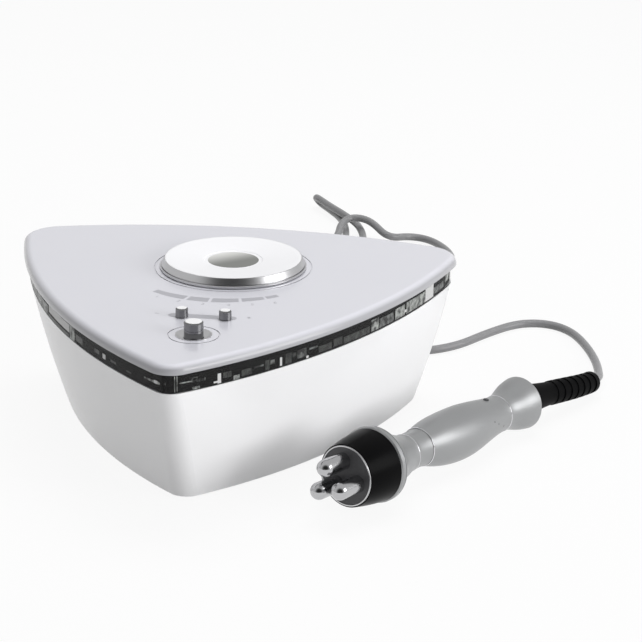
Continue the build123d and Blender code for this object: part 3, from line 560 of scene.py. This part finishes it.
# %% A grid becomes a piece
def grid_faces(rows, columns, closed=False):
    """Quads between the points of a grid laid out row by row.

    A closed grid joins its last column to the first.
    """
    i, j = np.meshgrid(np.arange(rows - 1), np.arange(columns - (not closed)), indexing="ij")
    right = (j + 1) % columns
    row, next_row = i * columns, (i + 1) * columns
    corners = (row + j, row + right, next_row + right, next_row + j)
    return np.stack(corners, -1).reshape(-1, 4)


def make_piece(name, points, faces, finish, body, slot, smooth=False):
    """A mesh piece with its place in its points and the finish as its material, which rides on a
    body. The slot is not used.
    """
    mesh = bpy.data.meshes.new(name)
    mesh.from_pydata(points.reshape(-1, 3).tolist(), [], [list(face) for face in faces])
    mesh.polygons.foreach_set("use_smooth", np.full(len(mesh.polygons), smooth))
    mesh.materials.append(finish)
    piece = bpy.data.objects.new(name, mesh)
    bpy.context.scene.collection.objects.link(piece)
    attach(piece, body)


# %% Several shapes as one piece
def joined(parts):
    """Several (points, faces) pairs as one: each one's faces count on from the points before."""
    points, faces, start = [], [], 0
    for part_points, part_faces in parts:
        part_points = part_points.reshape(-1, 3)
        points.append(part_points)
        faces += [[int(corner) + start for corner in face] for face in part_faces]
        start += len(part_points)
    return np.concatenate(points), faces


def mesh_points(node):
    """All the points of a CAD node's mesh, as rows."""
    mesh = nodes[node].data
    points = np.empty(3 * len(mesh.vertices))
    mesh.vertices.foreach_get("co", points)
    return points.reshape(-1, 3)


# %% [markdown]
# ## Behind the smoked band
# Through the band one sees the lamp board's parts: lamps, their reflectors, solder ladders and
# clear light guides, at uneven places in front of a black lining. They lie just inside the band's
# outer face, so that no slanting view looks in below them. Their places are given along the band,
# in millimetres from the middle of the nose, and as shares of the band's height. The band's own
# line is read from its mesh: the outermost points, in order round a point inside it.

# %% The band's outer line
band_centre = np.array([0.0, -0.02])
band_low, band_high = (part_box("light_band")[i].z for i in (0, 1))


def outer_line(points, steps=2400, window=0.02, wall=0.6 * mm):
    """The outermost points round a centre, at even angles, from opposite the nose and back to it.

    A point counts as outermost if no point within the window of angle reaches more than the wall
    further out. Between such points the line is straight.
    """
    flat = np.unique(np.round(points[:, :2], 6), axis=0) - band_centre
    angle, reach = np.arctan2(flat[:, 0], -flat[:, 1]), np.hypot(*flat.T)
    near = np.abs(angle[:, None] - angle[None]) < window
    outermost = reach > np.where(near, reach[None], 0).max(1) - wall
    angle, flat = angle[outermost], flat[outermost]
    order = np.argsort(angle)
    angle, flat = angle[order], flat[order]
    turns = np.concatenate([angle - 2 * pi, angle, angle + 2 * pi])
    even = np.linspace(-pi, pi, steps + 1)
    axes = [np.interp(even, turns, np.tile(flat[:, axis], 3)) for axis in (0, 1)]
    return np.stack(axes, 1) + band_centre


band_outline = outer_line(mesh_points("light_band"))
band_steps = np.hypot(*np.diff(band_outline, axis=0).T)
band_way = np.concatenate([[0], np.cumsum(band_steps)])
band_way -= band_way[len(band_way) // 2]
print("band round", round(2 * band_way[-1], 3), "m")

# %% Places and bars along the band
def band_points(way):
    """Points of the band's outer line at distances from the nose."""
    return np.stack([np.interp(way, band_way, band_outline[:, axis]) for axis in (0, 1)], -1)


def on_band(way, step=0.8 * mm):
    """Points of the band's outer line, and the outward direction there, square to the line."""
    along = band_points(way + step) - band_points(way - step)
    along /= np.linalg.norm(along, axis=-1, keepdims=True)
    return band_points(way), np.stack([along[..., 1], -along[..., 0]], -1)


def ends_of(count):
    """The two end faces of a bar of four corners and count sections."""
    last = 4 * (count - 1)
    return np.array([[3, 2, 1, 0], [last, last + 1, last + 2, last + 3]])


def band_bar(start, end, low, high, front, back):
    """A bar behind the band: a rectangle of section carried along the band's line.

    The section reaches from the depth front to the depth back, and between two shares of the
    band's height. Its corners go round so that the faces point outwards. Both ends are closed.
    """
    count = max(2, int(abs(end - start) / 2.5) + 2)
    at, outward = on_band(np.linspace(start, end, count) * mm)
    rise = band_high - band_low
    section = [(front, low), (back, low), (back, high), (front, high)]
    corners = [
        np.column_stack([at - outward * depth * mm, np.full(count, band_low + rise * share)])
        for depth, share in section
    ]
    faces = grid_faces(count, 4, closed=True)
    return np.stack(corners, 1), np.concatenate([faces, ends_of(count)])


# %% Where the lamps and the clear guides are
guide_places = {
    "lamp_bars": [
        (-147.6, -108.4, 0.32, 0.8), (-62.2, -59.0, 0.28, 0.56), (-10.2, -7.2, 0.42, 0.6),
        (30.9, 33.1, 0.07, 0.64), (28.3, 30.9, 0.14, 0.24), (74.2, 75.7, 0.1, 0.6),
        (94.4, 96.2, 0.05, 0.2), (189.0, 191.2, 0.24, 0.4), (216.5, 228.5, 0.1, 0.9),
    ],
    "clear_guides": [
        (-220.0, -151.0, 0.02, 0.6), (-107.6, -99.6, 0.0, 1.0), (-18.2, -10.2, 0.44, 0.56),
        (-7.2, -5.4, 0.44, 0.56), (4.0, 4.4, 0.0, 1.0), (5.4, 5.8, 0.0, 1.0),
        (7.1, 14.5, 0.52, 0.58), (15.0, 17.5, 0.52, 0.58), (14.9, 19.3, 0.05, 0.2),
        (41.5, 45.5, 0.03, 0.3), (152.2, 159.5, 0.1, 0.8), (178.0, 189.0, 0.1, 0.76),
        (191.2, 216.5, 0.1, 0.8), (250.0, 260.0, 0.3, 0.85),
    ],
}

# %% Where the board's traces are
guide_places |= {
    "board_traces": [
        (-1.7, -0.9, 0.52, 0.64), (14.5, 15.0, 0.45, 0.7), (17.5, 18.0, 0.45, 0.7),
        (14.5, 18.0, 0.7, 0.75), (18.7, 19.7, 0.45, 0.6), (20.6, 21.5, 0.45, 0.6),
        (22.3, 23.1, 0.45, 0.6), (55.8, 62.2, 0.4, 0.5), (67.2, 70.2, 0.35, 0.6),
        (87.4, 94.4, 0.2, 0.7), (96.9, 103.4, 0.5, 0.6), (160.5, 176.0, 0.1, 0.66),
        (229.0, 245.5, 0.2, 0.6),
    ],
    "faint_traces": [
        (-149.5, -109.0, 0.02, 0.2), (-98.0, -88.0, 0.2, 0.6), (-72.0, -66.0, 0.34, 0.58),
        (-53.0, -47.0, 0.36, 0.5), (-36.0, -31.0, 0.3, 0.4), (34.5, 40.0, 0.3, 0.62),
        (47.0, 54.0, 0.14, 0.5), (63.5, 66.5, 0.1, 0.66), (78.3, 82.9, 0.1, 0.7),
        (83.6, 86.5, 0.4, 0.62), (104.5, 115.5, 0.12, 0.5), (116.9, 124.8, 0.15, 0.6),
        (126.0, 150.5, 0.1, 0.5),
    ],
}
print("pieces behind the band", {name: len(rows) for name, rows in guide_places.items()})

# %% The black lining
guide_front, guide_back = 0.25, 0.4
lining_front, lining_back = 0.45, 0.6
half_round = band_way[-1] / mm - 0.5
lining = band_bar(-half_round, half_round, 0.01, 0.99, lining_front, lining_back)
make_piece("dark_lining", *lining, finishes["inner_black"], "machine", "inner_black")
print("lining", round(2 * half_round), "mm long")

# %% Lamps, guides and traces, the duller ones patchy
guide_tones = {
    "lamp_bars": (0.7, 0.7, 0.7),
    "clear_guides": (0.42, 0.44, 0.42),
    "board_traces": (0.17, 0.18, 0.175),
    "faint_traces": (0.05, 0.054, 0.05),
}
patches = {"other": (0.01, 0.01, 0.01), "tone_scale": 300.0, "tone_contrast": 4.0}
for name, rows in guide_places.items():
    points, faces = joined([band_bar(*row, guide_front, guide_back) for row in rows])
    clouding = {} if name == "lamp_bars" else patches
    tinted = finish_of(name, guide_tones[name], rough=0.4, skin_depth=0.0, **clouding)
    make_piece(name, points, faces, tinted, "machine", "strip_white")
print("shades behind the band", list(guide_tones))

# %% [markdown]
# ## Printed marks on the plate
# The plate carries thin grey printing: a scale under the dial with its numbers, a bar that links
# the two small buttons, and a minus and a plus sign. Printing is ink a few hundredths of a
# millimetre thick, so each mark is a sheet of that height on the plate's top. All lengths in these
# cells are in millimetres.

# %% A sheet of ink
plate_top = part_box("top_plate")[1].z
ink, sunk = 0.03 * mm, 0.02 * mm
ink_grey = finish_of("ink_grey", (0.36, 0.36, 0.39), rough=0.35, skin_depth=0.0)


def slab_between(right, left):
    """A thin closed slab between two lines of the same number of points.

    Seen along the lines, the second is on the left, so that the faces point outwards.
    """
    count = len(right)
    low, high = np.full(count, plate_top - sunk), np.full(count, plate_top + ink)
    corners = [(right, low), (left, low), (left, high), (right, high)]
    points = np.stack([np.column_stack([line * mm, z]) for line, z in corners], 1)
    return points, np.concatenate([grid_faces(count, 4, closed=True), ends_of(count)])


# %% The scale under the dial
dial_centre = np.array([4.8, 5.5])
scale_start, scale_span = -125, 70.5


def scale_arc(start, end):
    """A piece of the scale, between two arcs about the dial from one angle to another.

    Along the scale the arcs' middle radius swells by 0.6 and shrinks by 3.6, and the half width
    swells by 1.3 towards the middle, so the scale thins out to the right.
    """
    turn = np.linspace(start, end, max(3, int(abs(end - start)) + 2))
    share = (turn - scale_start) / scale_span
    middle = 64.2 + 0.6 * np.sin(pi * share) - 3.6 * share**2
    half = 2.2 + 1.3 * np.sin(pi * np.clip(share * 1.1, 0, 1))
    way = np.column_stack([np.cos(np.radians(turn)), np.sin(np.radians(turn))])
    inner, outer = (middle - half)[:, None], (middle + half)[:, None]
    return slab_between(dial_centre + way * outer, dial_centre + way * inner)


scale_pieces = [(-125, -105.2), (-103.6, -92.6), (-91, -77), (-75.4, -63.2), (-61.8, -54.5)]
marks = [scale_arc(*angles) for angles in scale_pieces]
print("pieces of the scale", len(marks))

# %% The bar and the signs
def bar_of_ink(x, y, length, width, turned=0.0):
    """A straight bar with round ends: a half circle at each end of its middle line."""
    half = width / 2
    straight = length / 2 - half
    tip = straight + half * np.sin(np.linspace(0, pi / 2, 7))
    reach = np.concatenate([-tip[::-1], tip])
    past = (np.abs(reach) - straight) / half
    across = half * np.sqrt(np.clip(1 - np.clip(past, 0, None) ** 2, 0.0004, 1))
    c, s = cos(radians(turned)), sin(radians(turned))
    along = np.array([x, y]) + reach[:, None] * (c, s)
    sideways = across[:, None] * (-s, c)
    return slab_between(along - sideways, along + sideways)


marks += [
    bar_of_ink(3.8, -87.8, 39.5, 6.4),
    bar_of_ink(-22.8, -86.4, 2.8, 0.7),
    bar_of_ink(30.2, -85.2, 2.8, 0.7),
    bar_of_ink(30.2, -85.2, 2.8, 0.7, 90),
]
points, faces = joined(marks)
make_piece("plate_printing", points, faces, ink_grey, "machine", "plate_silver")
print("printed marks", len(marks))

# %% Numbers of the scale
number_height = 4.6 * mm
number_radius = 71.6
number_lean = 0.6  # how much of the turn about the dial each number follows


def number_mesh(digit):
    """A digit of ink height, made a mesh while it lies at the origin."""
    words = bpy.data.curves.new("scale_number", "FONT")
    words.body, words.size, words.extrude = digit, number_height, ink / 2
    words.align_x, words.align_y = "CENTER", "CENTER"
    text = bpy.data.objects.new("scale_number", words)
    mesh = bpy.data.meshes.new_from_object(text)
    bpy.data.objects.remove(text)
    mesh.materials.append(ink_grey)
    return mesh


for count, turn in enumerate((-118, -106, -94, -82, -71, -60), 1):
    mesh = number_mesh(str(count))
    way = np.array([cos(radians(turn)), sin(radians(turn))])
    place = (dial_centre + number_radius * way) * mm
    leaning = Matrix.Rotation(radians((turn + 90) * number_lean), 4, "Z")
    mesh.transform(Matrix.Translation((*place, plate_top + ink / 2)) @ leaning)
    number = bpy.data.objects.new(f"scale_number_{count}", mesh)
    bpy.context.scene.collection.objects.link(number)
    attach(number, "machine")
print("numbers on the scale", count)

# %% [markdown]
# ## Crowns of the buttons
# The caps' sides are a darkened chrome, a painted dark reflection, and their crowns a near-white
# finish, a painted highlight of the bright room in the chrome. A crown is a shallow turned disc:
# the same profile at every angle round the button's axis.

# %% A disc turned from a profile
def turned_disc(x, y, profile, count=64):
    """A closed shell of revolution about an upright axis.

    The profile's radii and heights are repeated at even angles, and each end has a point.
    """
    radii, heights = np.array(profile).T
    angle = np.linspace(0, 2 * pi, count, endpoint=False)
    reach = radii[:, None]
    rise = np.repeat(heights[:, None], count, 1)
    ring = np.stack([x + reach * np.cos(angle), y + reach * np.sin(angle), rise], -1)
    ends = np.array([[x, y, heights[0]], [x, y, heights[-1]]])
    total = len(radii) * count
    around = np.arange(count)
    nearby = (around + 1) % count
    bottom = np.stack([np.full(count, total), nearby, around], 1)
    top = np.stack([np.full(count, total + 1), around + total - count, nearby + total - count], 1)
    sides = grid_faces(len(radii), count, closed=True)
    faces = [*sides.tolist(), *bottom.tolist(), *top.tolist()]
    return np.concatenate([ring.reshape(-1, 3), ends]), faces


# %% Turn the crowns
# A near-white finish that paints the highlight on each chrome crown.
painted_highlight_finish = finish_of(
    "crown_painted_highlight", (0.93, 0.93, 0.94),
    rough=0.18, drift=0.02, skin_depth=0.0, Metallic=0.3, Coat_Weight=0.5,
)
crown_bodies = {
    "mode_button_left": "mode_left", "mode_button_right": "mode_right", "start_button": "start"
}
crown_steps = [(0.1, -0.02), (0.1, 0.06), (0.35, 0.12)]  # inside the cap's edge, above its top
for node, body in crown_bodies.items():
    cap = mesh_points(node)
    top = cap[:, 2].max()
    edge = cap[cap[:, 2] > top - 0.05 * mm]
    x, y = (edge[:, :2].max(0) + edge[:, :2].min(0)) / 2
    radius = np.ptp(edge[:, 0]) / 2
    profile = [(radius - inside * mm, top + above * mm) for inside, above in crown_steps]
    points, faces = turned_disc(x, y, profile)
    make_piece(node.replace("button", "crown"), points, faces, painted_highlight_finish, body, "chrome")
print("crowns", len(crown_bodies))

# %% [markdown]
# ## Fine pieces on the handpiece
# Bright lines mark the seams of the handle, and near its tail sit a dark push button and three tiny
# lamps. A seam line is a low ring turned about the handle's own axis: the radius comes from the
# handle's mesh at that place, so the ring follows its belly.

# %% The handle's own axes
handle_start = np.array([93.1, -133.2, 23.3]) * mm
handle_way = np.array([0.5145, 0.8565, -0.0408])
handle_way /= np.linalg.norm(handle_way)
handle_side = np.cross(handle_way, (0, 0, 1))
handle_side /= np.linalg.norm(handle_side)
handle_up = np.cross(handle_side, handle_way)
print("the handle points along", handle_way.round(3))

# %% Rings at the seams
ring_section = [(-0.45, -0.2), (-0.3, 0.08), (0, 0.14), (0.3, 0.08), (0.45, -0.2)]
slice_half = 1.2 * mm


def seam_ring(node, at, count=96):
    """A low rounded section turned about the handle, at a distance along it in millimetres.

    Its centre and radius are those of the circle round the node's points near that distance.
    """
    near = mesh_points(node) - handle_start
    near = near[np.abs(near @ handle_way - at * mm) < slice_half]
    across, height = near @ handle_side, near @ handle_up
    middle = np.array([across.max() + across.min(), height.max() + height.min()]) / 2
    radius = np.hypot(across - middle[0], height - middle[1]).max()
    angle = np.linspace(0, 2 * pi, count, endpoint=False)[:, None]
    out = np.cos(angle) * handle_side + np.sin(angle) * handle_up
    centre = handle_start + handle_side * middle[0] + handle_up * middle[1]
    rings = [
        centre + handle_way * (at + along) * mm + out * (radius + proud * mm)
        for along, proud in ring_section
    ]
    faces = grid_faces(count + 1, len(rings), closed=True) % (count * len(rings))
    return np.stack(rings, 1), faces


seam_places = [("neck_collar", 54.3), ("handle_shell", 67.3), ("handle_shell", 146.0)]
points, faces = joined([seam_ring(*place) for place in seam_places])
chrome = finishes["chrome"]
make_piece("handle_seam_rings", points, faces, chrome, "machine", "chrome", smooth=True)
print("seam rings", len(seam_places))

# %% A disc that faces outward
def set_on(place, outward, radius, height):
    """A low turned disc with a rounded edge, moved to a place on the handle and turned outward."""
    sunk = -0.4
    profile = [(radius, sunk), (radius, height * 0.6), (radius * 0.75, height)]
    profile.append((radius * 0.05, height))
    points, faces = turned_disc(0, 0, np.array(profile) * mm, count=32)
    turn = np.array(Vector(outward).to_track_quat("Z", "Y").to_matrix())
    return points @ turn.T + np.array(place) * mm, faces


# %% The push button and the tiny lamps
push = set_on((162.1, -19.3, 29.1), (0.11, 0.12, 0.98), 1.7, 0.9)
make_piece("handle_push", *push, finishes["face_grey"], "machine", "face_grey")
lamp_spots = [
    ((168.7, -32.64, 20.79), (0.89, -0.36, 0.27)),
    ((170.88, -28.6, 18.06), (0.92, -0.38, 0.09)),
    ((173.54, -21.78, 14.24), (0.9, -0.39, -0.18)),
]
points, faces = joined([set_on(*spot, 0.55, 0.08) for spot in lamp_spots])
lamp_grey = finish_of("lamp_grey", (0.12, 0.12, 0.12), rough=0.3, skin_depth=0.0)
make_piece("handle_lamps", points, faces, lamp_grey, "machine", "handle_silver")
print("handle details", 1 + len(lamp_spots))

# %% Show colours as they are written
bpy.context.scene.view_settings.view_transform = "Standard"
